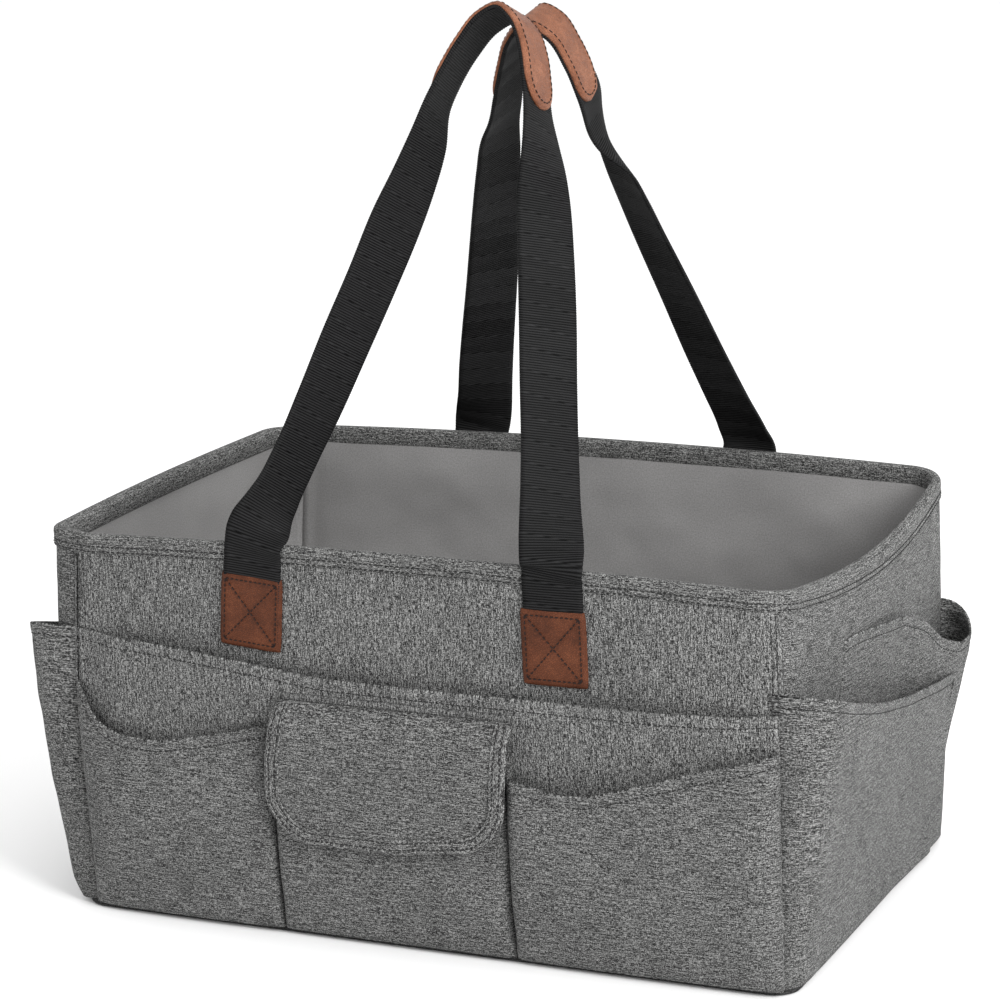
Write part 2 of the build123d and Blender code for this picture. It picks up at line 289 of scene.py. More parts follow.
class Nodes:
    """A new material's node tree, with short calls for adding and joining nodes."""

    def __init__(self, name):
        self.material = bpy.data.materials.new(name)
        self.material.use_nodes = True
        self.tree = self.material.node_tree
        self.shader = self.tree.nodes["Principled BSDF"]

    def add(self, kind, **values):
        node = self.tree.nodes.new("ShaderNode" + kind)
        for key, value in values.items():
            if hasattr(node, key):
                setattr(node, key, value)
            else:
                node.inputs[key.replace("_", " ")].default_value = value
        return node

    def join(self, start, end):
        self.tree.links.new(start, end)

    def coordinates(self, scale, source="UV"):
        """Texture coordinates in cells: scale is cells per metre along each axis."""
        place = self.add("TexCoord")
        mapping = self.add("Mapping")
        mapping.inputs["Scale"].default_value = scale
        self.join(place.outputs[source], mapping.inputs["Vector"])
        return mapping.outputs["Vector"]

    def noise(self, scale, source="UV", detail=2.0, roughness=0.5):
        node = self.add("TexNoise", Scale=1.0, Detail=detail, Roughness=roughness)
        self.join(self.coordinates(scale, source), node.inputs["Vector"])
        return node.outputs["Fac"]

    def ramp(self, value, *stops):
        """Colours or greys along a value; each stop is (place, colour or grey)."""
        node = self.add("ValToRGB")
        elements = node.color_ramp.elements
        while len(elements) < len(stops):
            elements.new(0.5)
        for element, (place, colour) in zip(elements, stops):
            element.position = place
            grey = isinstance(colour, (int, float))
            element.color = (colour, colour, colour, 1) if grey else (*colour, 1)
        self.join(value, node.inputs["Fac"])
        return node.outputs["Color"]

    def multiply(self, a, b):
        """One colour times another."""
        node = self.add("Mix", data_type="RGBA", blend_type="MULTIPLY")
        node.inputs["Factor"].default_value = 1.0
        self.join(a, node.inputs[6])
        self.join(b, node.inputs[7])
        return node.outputs[2]

    def math(self, operation, a, b):
        node = self.add("Math", operation=operation)
        for value, socket in zip((a, b), node.inputs):
            if isinstance(value, (int, float)):
                socket.default_value = value
            else:
                self.join(value, socket)
        return node.outputs[0]

    def weighted(self, *parts):
        """The sum of (value, share) parts, each value times its share."""
        scaled = [self.math("MULTIPLY", value, share) for value, share in parts]
        total = scaled[0]
        for part in scaled[1:]:
            total = self.math("ADD", total, part)
        return total

    def wave(self, direction, scale, **values):
        """Bands that follow one another along the cloth's X or Y."""
        node = self.add("TexWave", wave_type="BANDS", bands_direction=direction, Scale=1.0, **values)
        self.join(self.coordinates(scale), node.inputs["Vector"])
        return node.outputs["Fac"]

    def bump(self, height, distance, strength):
        node = self.add("Bump", Strength=strength, Distance=distance)
        self.join(height, node.inputs["Height"])
        return node.outputs["Normal"]

    def set(self, **values):
        for key, value in values.items():
            socket = self.shader.inputs[key.replace("_", " ")]
            if isinstance(value, bpy.types.NodeSocket):
                self.join(value, socket)
            else:
                socket.default_value = value


WEAVE_CELL = 0.0040  # metres; a wave texture has three bands and a little in one cell
RIB_PITCH = 1.3  # of the webbing's ribs, in millimetres
# cells per metre of the painted rib highlight bands on the webbing
RIB_SCALE = 0.31831 / (RIB_PITCH * MM)


def heather_cloth(name, dark, middle, light, upright):
    """Heathered grey cloth: a fine plain weave flecked by slubs that run one way."""
    n = Nodes(name)

    def slubs(length, width, detail, roughness):
        scale = (1 / width, 1 / length, 1) if upright else (1 / length, 1 / width, 1)
        return n.noise(scale, detail=detail, roughness=roughness)

    tone = n.weighted(
        (slubs(0.0021, 0.00040, 3.0, 0.75), 0.40),
        (slubs(0.00050, 0.0020, 2.0, 0.6), 0.14),
        (slubs(0.00055, 0.00055, 3.0, 0.75), 0.32),
        (slubs(0.0110, 0.0009, 2.0, 0.6), 0.14),
    )
    colour = n.ramp(tone, (0.440, dark), (0.497, middle), (0.557, light))
    patchy = n.ramp(n.noise((22, 22, 1)), (0.3, 0.9), (0.7, 1.08))
    weave = [n.wave(direction, (1 / WEAVE_CELL, 1 / WEAVE_CELL, 1), Distortion=0.6) for direction in "XY"]
    height = n.weighted((n.math("MULTIPLY", *weave), 0.4), (tone, 1.0))
    n.set(Base_Color=n.multiply(colour, patchy), Normal=n.bump(height, 0.00028, 0.75))
    n.set(Roughness=0.92, Sheen_Weight=0.04, Sheen_Roughness=0.5, Specular_IOR_Level=0.1)
    return n.material


def smooth_lining(name, dark, light):
    """Thin close cloth with a little shine."""
    n = Nodes(name)
    tone = n.noise((1 / 0.0008, 1 / 0.0008, 1))
    broad = n.ramp(n.noise((14, 14, 1), detail=3.0), (0.3, 0.85), (0.7, 1.1))
    n.set(Base_Color=n.multiply(n.ramp(tone, (0.3, dark), (0.7, light)), broad))
    n.set(Normal=n.bump(tone, 0.00008, 0.5), Roughness=0.42, Sheen_Weight=0.1, Specular_IOR_Level=0.5)
    return n.material


def ribbed_webbing(name, dark, light):
    """Black webbing: the ribs are in the mesh, with fine lengthwise yarns and painted highlights in bands at
    the ribs' spacing.
    """
    n = Nodes(name)
    yarn = n.noise((1 / 0.0009, 1 / 0.0028, 1), detail=3.0, roughness=0.65)
    # the wave's bands are painted highlight at the rib spacing; the yarn noise is the webbing's own tone
    painted_rib_highlight_and_yarn = n.weighted((n.wave("Y", (1, RIB_SCALE, 1), wave_profile="SIN"), 0.45), (yarn, 0.6))
    n.set(Base_Color=n.ramp(painted_rib_highlight_and_yarn, (0.3, dark), (0.8, light)), Normal=n.bump(yarn, 0.00018, 0.7))
    n.set(Roughness=0.6, Specular_IOR_Level=0.07)
    return n.material


def grained_leather(name, dark, middle, light, pebble, gloss):
    """Leather with rounded pebbles, darker in the creases and mottled over a few centimetres."""
    n = Nodes(name)
    warp = n.noise((300,) * 3, "Object")
    creases = n.add("TexVoronoi", feature="DISTANCE_TO_EDGE", Scale=1.0)
    n.join(n.coordinates((1 / pebble,) * 3, "Object"), creases.inputs["Vector"])
    crease = n.ramp(creases.outputs["Distance"], (0.0, 0.0), (0.22, 1.0))
    mottle = n.noise((60,) * 3, "Object", detail=4.0, roughness=0.6)
    tone = n.weighted((mottle, 0.75), (warp, 0.25))
    colour = n.ramp(tone, (0.32, dark), (0.5, middle), (0.68, light))
    n.set(Base_Color=n.multiply(colour, n.ramp(crease, (0.0, 0.62), (1.0, 1.05))))
    n.set(Normal=n.bump(n.weighted((warp, 0.4), (crease, 1.0)), 0.00016, 0.8))
    n.set(Roughness=n.ramp(mottle, (0.3, gloss - 0.08), (0.7, gloss + 0.1)), Specular_IOR_Level=0.16)
    return n.material


def grainy(name, cell, dark, light, height, strength, stops=(0.3, 0.7), detail=2.0, rough=0.5, **finish):
    """A plain material with one fine grain, in its tone and in its height."""
    n = Nodes(name)
    grain = n.noise((1 / cell,) * 3, "Object", detail=detail, roughness=rough)
    n.set(Base_Color=n.ramp(grain, (stops[0], dark), (stops[1], light)))
    n.set(Normal=n.bump(grain, height, strength), **finish)
    return n.material


def sewing_thread(name, dark, light):
    return grainy(name, 1 / 2600, dark, light, 0.00008, 0.6, Roughness=0.7, Specular_IOR_Level=0.3)


def tape_fuzz(name, cell, dark, light):
    return grainy(
        name, cell, dark, light, 0.0005, 0.9, (0.35, 0.65), 3.0, 0.7, Roughness=0.9, Sheen_Weight=0.4
    )


cloth_up = heather_cloth(
    "cloth_slub_upright", 0.003, (0.052, 0.052, 0.0515), (0.32, 0.32, 0.314), upright=True
)
cloth_along = heather_cloth(
    "cloth_slub_along", 0.003, (0.047, 0.047, 0.0465), (0.29, 0.29, 0.285), upright=False
)
binding_cloth = heather_cloth(
    "cloth_binding", 0.003, (0.052, 0.052, 0.0515), (0.30, 0.30, 0.294), upright=False
)
piping_cloth = heather_cloth("cloth_piping", 0.004, 0.020, 0.07, upright=False)
lining_cloth = smooth_lining("lining_cloth", (0.185, 0.182, 0.180), (0.28, 0.275, 0.272))
# its lighter tone is painted rib highlight over the yarns' own tone
webbing_black = ribbed_webbing("webbing_black", 0.0008, (0.022, 0.022, 0.0225))
patch_leather = grained_leather(
    "patch_leather", (0.062, 0.018, 0.007), (0.098, 0.029, 0.012), (0.14, 0.045, 0.020), 0.0010, 0.5
)
grip_leather = grained_leather(
    "grip_leather", (0.145, 0.050, 0.024), (0.215, 0.081, 0.041), (0.30, 0.125, 0.070), 0.0011, 0.42
)
dark_thread = sewing_thread("thread_dark_brown", (0.006, 0.0024, 0.0018), (0.010, 0.004, 0.003))
# the grey thread is far darker than the cloth: partly its own colour, partly painted shade of the puckered
# seams along the stitch rows
grey_thread_and_seam_shade = sewing_thread("thread_grey_and_seam_shade", 0.0084, 0.014)
board_plastic = grainy(
    "board_plastic", 1 / 900, (0.04, 0.04, 0.0416), (0.05, 0.05, 0.052), 0.0001, 0.4, Roughness=0.55
)
hook_tape = tape_fuzz("hook_tape", 0.0012, 0.008, 0.05)
loop_tape = tape_fuzz("loop_tape", 0.0006, 0.012, 0.07)

# the outer cloth's two ways of running, each with its slot
UPRIGHT = (cloth_up, "outer_fabric_upright")
LEVEL = (cloth_along, "outer_fabric_level")

# ---------------------------------------------------------------- the box's outline and settling

TOP_RADIUS = 20.0  # the corners open out from CORNER to this at the rim
FRONT_RUN = HALF_LENGTH - TOP_RADIUS  # half the straight stretch of a long wall
SIDE_RUN = HALF_WIDTH - TOP_RADIUS
ZONE = 2 * (TOP_RADIUS - CORNER) + math.pi / 2 * CORNER  # length of one corner's zone, low down
MIDDLES = {
    "front": 0.0,
    "right": FRONT_RUN + ZONE + SIDE_RUN,
    "back": 2 * (FRONT_RUN + ZONE + SIDE_RUN),
    "left": 3 * (FRONT_RUN + ZONE + SIDE_RUN),
}
LAP = 4 * (FRONT_RUN + ZONE + SIDE_RUN)


def corner_radius(z):
    return CORNER + (TOP_RADIUS - CORNER) * ease((z - 120) / (RIM - 120))


# each wall's direction along (left to right from outside), its outward direction, how far its
# face stands from the middle, and half its straight stretch
WALLS = {
    "front": ((1, 0), (0, -1), HALF_WIDTH, FRONT_RUN),
    "right": ((0, 1), (1, 0), HALF_LENGTH, SIDE_RUN),
    "back": ((-1, 0), (0, 1), HALF_WIDTH, FRONT_RUN),
    "left": ((0, -1), (-1, 0), HALF_LENGTH, SIDE_RUN),
}
LONG_WALLS = ("front", "back")


def outline(q, z, inset):
    """Points of the box's level outline: q runs round it from the middle of the front."""
    q, z, inset = np.broadcast_arrays(q, z, inset)
    x = np.zeros(q.shape)
    y = np.zeros(q.shape)
    radius = corner_radius(z)
    reach = radius - inset
    straight = TOP_RADIUS - radius
    zone_length = 2 * straight + math.pi / 2 * radius
    place = q % LAP
    for wall, ((ax, ay), (ox, oy), face, run) in WALLS.items():
        s = place - MIDDLES[wall]
        if wall == "front":
            s = np.where(place > LAP / 2, place - LAP, place)
        # a wall's own stretch, and the corner after it: straight, round, straight
        inside = (s >= -run) & (s < run + ZONE)
        share = np.clip((s - run) / ZONE, 0, 1) * zone_length
        turn = np.clip((share - straight) / radius, 0, math.pi / 2)
        after = np.clip(share - straight - math.pi / 2 * radius, 0, None)
        along = np.where(s <= run, s, run + np.minimum(share, straight) + reach * np.sin(turn))
        out = face - inset - reach * (1 - np.cos(turn)) - after
        x = np.where(inside, ax * along + ox * out, x)
        y = np.where(inside, ay * along + oy * out, y)
    return x, y


RIM_RISE = 4.0  # the long walls stand this much higher in the middle
RIM_SAG = {-1: 1.5, 1: 12.0}  # the left and right walls dip this much in the middle
BOW = {-1: 8.0, 1: 6.0}  # and bow out this much at the rim
LEFT_SPREAD = 11.5  # the left wall has been pushed out by this much, above its foot
TAPER = 0.042  # the base is this share narrower than the rim


def settle(points):
    """How the straight box of the frame gives: narrower foot, dipped and bowed rim."""
    x, y, z = points[..., 0], points[..., 1], points[..., 2]
    a = np.clip(np.abs(x) / HALF_LENGTH, 0, 1)
    b = np.clip(np.abs(y) / HALF_WIDTH, 0, 1)
    high = ease((z - 90) / (RIM - 90))
    on_long = b**6 * (1 - a**2)
    on_short = a**8 * (1 - b**2) ** 1.2
    moved = points.copy()
    sag = np.where(x < 0, RIM_SAG[-1], RIM_SAG[1])
    bow = np.where(x < 0, BOW[-1], BOW[1])
    moved[..., 2] = z + high * (RIM_RISE * on_long - sag * on_short)
    lean = np.clip(1 - z / RIM, 0, 1)
    moved[..., 1] = y * (1 - TAPER * lean)
    # the shift fades out again over the depth of the end pockets
    spread = ease((-x - SEAM_X) / 13) * (1 - 0.85 * ease((-x - HALF_LENGTH) / 25)) * ease(z / 110)
    moved[..., 0] = x + np.sign(x) * bow * on_short * ease(z / RIM) - LEFT_SPREAD * spread
    return moved


def on_box(q, z, inset):
    """A settled point of the box's walls."""
    x, y = outline(q, z, inset)
    return settle(np.stack([x, y, np.broadcast_to(z, x.shape)], axis=-1))


def on_wall(wall, s, h, d):
    """A settled point by a wall: s along it, h up, d out from its flat face."""
    (ax, ay), (ox, oy), out, _ = WALLS[wall]
    s, h, d = np.broadcast_arrays(s, h, d)
    points = np.stack([ax * s + ox * (out + d), ay * s + oy * (out + d), h], axis=-1)
    return settle(points)


def wall_face(wall, s, h):
    """How far a wall's outer face stands from its flat plane: it falls away round a corner."""
    half = HALF_LENGTH if wall in LONG_WALLS else HALF_WIDTH
    radius = corner_radius(h)
    past = np.clip(np.abs(s) - (half - radius), 0, radius)
    return np.sqrt(np.maximum(radius**2 - past**2, 0)) - radius


# ---------------------------------------------------------------- walls, boards, lining


def crumple(grid, amount, seed, size=(38, 38, 30)):
    """Soft shallow swells over a grid, along its normals."""
    swell = noise(grid, size, seed) + 0.45 * noise(grid, np.array(size) / 2.6, seed + 1)
    return grid + normals(grid) * (swell * amount)[..., None]


# the corner seams, as distances round the box from the middle of the front
SEAMS = {"front": (-191.0, 196.0), "back": (MIDDLES["back"] - 193.0, MIDDLES["back"] + 193.0)}
SEAMS["right"] = (SEAMS["front"][1], SEAMS["back"][0])
SEAMS["left"] = (SEAMS["back"][1], LAP + SEAMS["front"][0])


def wall_sheet(name, node, ends, heights, inset, thickness, material, slot, amount=0, seed=0):
    """One layer of one wall, from end to end round the box."""
    start, end = ends
    low, top = heights
    q = np.linspace(start + 0.03, end - 0.03, int((end - start) / 3.0))
    z = np.linspace(low, top, int((top - low) / 3.2))
    grid = on_box(q[:, None], z[None], inset)
    if amount:
        fade = ease(np.minimum(top - z, z - low) / 30) * ease(np.minimum(q - start, end - q) / 16)[:, None]
        # the swells of an inner layer stay on its own side of the board
        lifted = crumple(grid, amount, seed) - normals(grid) * (1.45 * amount if inset else 0.0)
        grid = grid + (lifted - grid) * fade[..., None]
    uv = np.stack(np.broadcast_arrays(q[:, None], z[None]), axis=-1)
    put(shell(name, grid, thickness, uv, material), slot, node)


def build_box():
    """The outer cloth, the board and the lining of each wall."""
    for seed, wall in enumerate(WALLS):
        long = wall in LONG_WALLS
        wall_sheet(
            f"{wall}_outer_cloth", f"outer_{wall}_panel", SEAMS[wall], (1.2, RIM - 0.7), 0, CLOTH,
            *(UPRIGHT if long else LEVEL), 0.5, 10 + seed,
        )
        flat = SEAM_X - 1 if long else HALF_WIDTH - CORNER
        wall_sheet(
            f"{wall}_stiffener", f"{wall}_board", (MIDDLES[wall] - flat, MIDDLES[wall] + flat),
            (FLOOR_TOP, RIM - 3), BOARD_OUT + 0.3, BOARD_IN - BOARD_OUT - 0.6,
            board_plastic, "stiffener_board",
        )
        wall_sheet(
            f"{wall}_lining_cloth", f"lining_{wall}_panel", SEAMS[wall], (FLOOR_TOP, RIM - 0.7),
            LINING_OUT, LINING_IN - LINING_OUT, lining_cloth, "lining", 0.9, 30 + seed,
        )


def plate(name, node, inset, low, high, material, slot, amount=0, seed=0):
    """A rounded level sheet, closed, made as rings drawn in towards its middle."""
    q = np.linspace(0, LAP, 260, endpoint=False)
    steps = np.append(np.linspace(0, 1, 14) * 0.999, 0.9995)
    x, y = outline(q, 20.0, inset)
    layers = []
    for z in (high, low):
        px, py = (edge[:, None] * (1 - steps)[None] for edge in (x, y))
        points = settle(np.stack([px, py, np.full(px.shape, z)], axis=-1))
        if amount and z == high:
            lift = ease(steps / 0.15)[None] * (1 + noise(points, (70, 70, 50), seed)) / 2
            points[..., 2] += amount * lift
        layers.append(points.reshape(-1, 3))
    rows, columns = len(q), len(steps)
    count = rows * columns
    points = np.concatenate(layers)
    faces = quads(rows, columns, wrap=True, flip=True) + quads(rows, columns, count, wrap=True)
    for i in range(rows):
        a, b = i * columns, (i + 1) % rows * columns
        faces.append((a, b, b + count, a + count)[::-1])
    for start, turn in ((0, 1), (count, -1)):
        faces.append(tuple(start + i * columns + columns - 1 for i in range(rows))[::turn])
    put(make_mesh(name, points, faces, material, points[:, :2]), slot, node)


def band(name, node, q, loop, level, material, slot):
    """A closed section of (out, up) points carried right round the box."""
    out, up = np.array(loop, float).T
    grid = on_box(q[:, None], up + level, -out)
    rows, columns = grid.shape[:2]
    around = lengths(np.array(loop, float))
    uv = np.stack(np.broadcast_arrays(q[:, None], around[None]), axis=-1)
    faces = ring_faces(rows, columns, wrap=True, flip=True)
    put(make_mesh(name, grid.reshape(-1, 3), faces, material, uv.reshape(-1, 2)), slot, node)


def build_base():
    """The base's cloth, board and lining, and the bound seam round its foot."""
    plate("base_outer_cloth", "outer_base_panel", 0.0, 0.0, 1.15, *LEVEL)
    plate(
        "base_stiffener", "base_board", 1.4, 1.25, FLOOR_TOP - 0.05, board_plastic, "stiffener_board"
    )
    plate(
        "base_lining_cloth", "lining_base_panel", LINING_IN + 0.2, FLOOR_TOP, FLOOR_TOP + 0.5,
        lining_cloth, "lining", 1.0, 40,
    )
    loop = [(-0.2, 0.3), (1.0, 0.35), (1.7, 1.0), (1.8, 2.0), (1.2, 2.9), (-0.2, 3.1)]
    band(
        "base_seam_binding_cloth", "base_seam_binding", np.linspace(0, LAP, 620, endpoint=False),
        loop, 0.0, piping_cloth, "seam_piping",
    )


RIM_OUT = 0.7  # how far the rim's binding stands out from the cloth
RIM_LEG = 10.2  # how far it reaches down
RIM_ROWS = (6.6, 9.4)  # the stitch rows, below the rim


def build_rim():
    """The folded binding over the rim, its ridge, and two rows of stitches."""
    inner = -(LINING_IN + 0.55)
    loop = [
        (0.05, -RIM_LEG), (0.55, -RIM_LEG + 0.1), (RIM_OUT, -RIM_ROWS[1] - 0.2),
        (0.42, -RIM_ROWS[1] + 0.1), (RIM_OUT + 0.35, -8.1), (0.42, -RIM_ROWS[0]),
        (RIM_OUT, -5.6), (RIM_OUT + 0.1, -3.0), (RIM_OUT - 0.1, -1.1), (0.0, -0.25), (-1.4, 0.0),
        (-2.8, -0.1), (inner + 0.4, -0.5), (inner, -1.6), (inner - 0.1, -5.0),
        (inner, -RIM_LEG + 1), (inner + 0.5, -RIM_LEG), (inner + 0.58, -RIM_LEG),
        (inner + 0.6, -1.9), (-2.2, -0.8), (-0.7, -0.85), (0.04, -1.6),
    ]
    band(
        "rim_binding_cloth", "rim_binding", np.linspace(0, LAP, 780, endpoint=False),
        loop, RIM, binding_cloth, "binding_fabric",
    )
    q = np.linspace(0, LAP, 1300)
    runs = [wall_row(q, RIM - drop, 0.62) for drop in RIM_ROWS]
    put(stitches("rim_stitching", runs, 2.9, 0.34, grey_thread_and_seam_shade), "binding_fabric")


def wall_row(q, z, out):
    """A line on the box's cloth, out from it by a little, and the way that it faces."""
    path = on_box(q, z, -out)
    return path, unit(on_box(q, z, -2.0) - path)


def build_corner_seams():
    """The upright seams by the corners: a rolled edge with a row of stitches beside it."""
    z = np.linspace(4, RIM - 12, 160)
    roll = [(-1.5, -0.2), (-0.9, 0.2), (0, 0.35), (0.9, 0.2), (1.5, -0.2)]
    runs = []
    for wall in LONG_WALLS:
        for name, side, q in zip(("left", "right"), (-1, 1), SEAMS[wall]):
            path, away = wall_row(np.full(z.shape, q), z, 0.25)
            across = unit(np.cross(unit(np.gradient(path, axis=0)), away))
            seam = sweep(f"{wall}_{name}_corner_seam", path, across, away, roll, cloth_up)
            put(seam, "outer_fabric_upright")
            runs.append(wall_row(np.full(z.shape, q - side * 4.0), z, 0.1))
    put(stitches("corner_seam_stitching", runs, 3.0, 0.24, grey_thread_and_seam_shade), "outer_fabric_upright")


# ---------------------------------------------------------------- wall pockets

HEM = 7.0  # the lip is folded in this far
HEM_ROW = HEM - 1.5  # its stitches, below the lip


def pocket(name, wall, ends, lip, depth, landing, radii, foot, cloth, amount, seed, crown=0.0, shift=None):
    """A pocket panel: two gussets, two rounded corners and a crowned face, cut to its lip.

    depth(s, h) and landing(s, h) are distances out from the wall's plane, lip(s) is a height and
    shift(s, h) slides the panel along its wall.
    """
    s0, s1 = ends
    gusset, turn, face = 6, 9, max(int((s1 - s0) / 2.6), 10)
    v = np.linspace(0, 1, 48)
    columns = []
    for side, end, inward in ((0, s0, 1), (1, s1, -1)):
        radius = radii[side]
        block = []
        h = foot + (lip(np.array(end + inward * radius * 0.3)) - foot) * v
        full = depth(np.full(v.shape, end + inward * radius), h)
        low = landing(np.full(v.shape, end), h)
        bend = np.minimum(radius, np.maximum(full - low, 0.5) * 0.98)
        for t in np.linspace(0, 1, gusset)[:-1]:
            block.append((np.full(v.shape, end), low + (full - bend - low) * t))
        for angle in np.linspace(0, math.pi / 2, turn)[:-1]:
            s = end + inward * radius * (1 - math.cos(angle))
            block.append((np.full(v.shape, s), full - bend + bend * math.sin(angle)))
        columns.append(block)
    flat0, flat1 = s0 + radii[0], s1 - radii[1]
    middle = []
    for s in np.linspace(flat0, flat1, face):
        share = (s - flat0) / (flat1 - flat0)
        h = foot + (lip(np.array(s)) - foot) * v
        swell = crown * (1 - (2 * share - 1) ** 2) * (0.55 + 0.45 * np.sin(math.pi * v))
        middle.append((np.full(v.shape, s), depth(np.full(v.shape, s), h) + swell))
    ordered = columns[0] + middle + columns[1][::-1]
    s = np.stack([c[0] for c in ordered])
    d = np.stack([c[1] for c in ordered])
    h = foot + (lip(s) - foot) * v[None]
    across = lengths(np.stack([s.mean(1), d.mean(1)], axis=-1))
    grid = on_wall(wall, s if shift is None else s + shift(s, h), h, d)
    # the face swells and creases; the sewn edges stay put
    edge = np.minimum(across, across[-1] - across)
    free = ease(edge / 14)[:, None] * ease((h - foot) / 12)
    grid = grid + (crumple(grid, amount, seed) - grid) * free[..., None]
    grid = hem_ridge(grid, lip(s) - h)
    thickness = CLOTH + 0.5 * ease((HEM - (lip(s) - h)) / 1.5)
    uv = np.stack([np.broadcast_to(across[:, None], h.shape) + s0, h], axis=-1)
    material, slot = cloth
    put(shell(name, grid, thickness, uv, material, 0.4), slot, f"{name}_panel")
    return grid, lip(s) - h


def hem_ridge(grid, below):
    """A folded hem: proud by a little, with a groove where it is stitched."""
    proud = 0.35 * ease((HEM - below) / 2.0) - 0.6 * np.exp(-(((below - HEM_ROW) / 0.8) ** 2))
    return grid + normals(grid) * proud[..., None]


def hem_stitches(name, grids, slot="outer_fabric_level"):
    """A row of stitches that follows each pocket's hem."""
    runs = []
    for grid, below in grids:
        rows = []
        for points, facing, distance in zip(grid, normals(grid), below):
            order = np.argsort(distance)
            known = np.concatenate([points, facing], axis=1)[order]
            rows.append(sample(known, distance[order], np.array([HEM_ROW]))[0])
        rows = np.array(rows)
        runs.append((rows[:, :3], unit(rows[:, 3:])))
    put(stitches(name, runs, 2.9, 0.32, grey_thread_and_seam_shade), slot)


def wall_landing(wall):
    """Where a gusset meets the wall: just off its face, round the corner too."""
    return lambda s, h: wall_face(wall, s, h) + 0.15


LONG_ENDS = (-189.5, 194.5)
LONG_LIP = curve(
    (-196, 155), (-174, 153.5), (-133, 150), (-78, 144), (-48, 140.5), (21, 140), (141, 141),
    (196, 144.5),
)


def long_depth(s, h):
    """The long pocket hugs the wall low down and stands off it at the lip."""
    gape = 2.0 + 5.0 * ease(h / 150)
    ends = ease((s - LONG_ENDS[0]) / 26) * ease((LONG_ENDS[1] - s) / 26)
    return 1.0 + (gape - 1.0) * ends


def small_landing(s, h):
    """The small pockets' gussets are sewn to the long pocket."""
    return long_depth(s, h) + 0.35


def depth_by_height(*points):
    profile = curve(*points)
    return lambda s, h: profile(h)


SMALL = {
    "left": dict(
        ends=(-190.0, -77.4), radii=(26.0, 6.0), crown=1.2,
        lip=curve(
            (-193, 131), (-188.5, 123), (-182.5, 112), (-175, 105.5), (-163, 101.5), (-142, 101),
            (-116, 106), (-76, 115.5),
        ),
        depth=depth_by_height((0, 3.5), (8, 8.0), (35, 12.5), (75, 14.0), (105, 12.5), (130, 8.0)),
    ),
    "centre": dict(
        ends=(-76.6, 53.4), radii=(6.0, 6.0), crown=0.6,
        lip=curve((-80, 112), (-50, 109), (30, 109), (58, 112)),
        depth=depth_by_height((0, 3.5), (8, 7.5), (35, 11.5), (75, 12.5), (112, 12.0)),
    ),
    "right": dict(
        ends=(54.2, 195.0), radii=(6.5, 15.0), crown=1.0,
        lip=curve(
            (50, 106), (60, 101), (85, 96.5), (100, 97.5), (121, 104), (161, 117), (187, 124),
            (196, 127),
        ),
        depth=depth_by_height((0, 3.5), (8, 8.5), (35, 13.0), (75, 15.0), (105, 14.5), (130, 11.0)),
    ),
}


def build_long_wall_pockets(wall):
    """The long pocket across a wall, and the three small ones in front of it."""
    long_grid = pocket(
        f"{wall}_long_pocket", wall, LONG_ENDS, LONG_LIP, long_depth, wall_landing(wall),
        (3.0, 3.0), 3.2, UPRIGHT, amount=0.45, seed=3,
    )
    hem_stitches(f"{wall}_long_pocket_stitching", [long_grid], "outer_fabric_upright")
    grids = [
        pocket(
            f"{wall}_{name}_pocket", wall, landing=small_landing, foot=3.2, cloth=LEVEL,
            amount=0.9, seed=20 + seed, **shape,
        )
        for seed, (name, shape) in enumerate(SMALL.items())
    ]
    hem_stitches(f"{wall}_pocket_stitching", grids)


# The end pockets, from the front of the bag (-) to its back (+). RISE is how far a pocket stands
# out by height, and SHARE is how much of that by place along the wall.
OUTER_ENDS = (-135.0, 92.0)
OUTER_LIP = [
    (-136, 155), (-120, 151), (-100, 145.5), (-80, 140.5), (-45, 131.5), (-10, 124), (50, 112.5),
    (80, 106.5), (96, 105),
]
OUTER_RISE = {
    "right": curve((0, 3.0), (10, 5.0), (45, 10.0), (75, 14.5), (105, 18.5), (130, 21.5), (156, 23.0)),
    "left": curve(
        (0, 3.0), (5, 6.5), (13, 9.8), (45, 12.6), (75, 16.0), (105, 19.0), (130, 21.8), (156, 23.6)
    ),
}
OUTER_FRONT_RADIUS = {"right": 17.0, "left": 6.0}
OUTER_SHARE = curve((-134, 1.0), (-80, 1.02), (-10, 0.94), (50, 0.9), (96, 0.88))
INNER_ENDS = (-58.0, 126.0)
INNER_LIP = [
    (-60, 168), (-50, 170), (-36, 169.5), (-10, 166.5), (25, 161), (50, 149), (72, 131), (90, 123.5),
    (107, 122.5), (128, 138),
]
INNER_RISE = curve((0, 3.5), (20, 5.5), (55, 6.5), (75, 10.5), (108, 17.5), (122, 20.5), (160, 23.0))
INNER_SHARE = curve((-60, 0.0), (-27, 0.06), (25, 0.2), (70, 0.62), (92, 0.96), (105, 1.0), (128, 1.0))


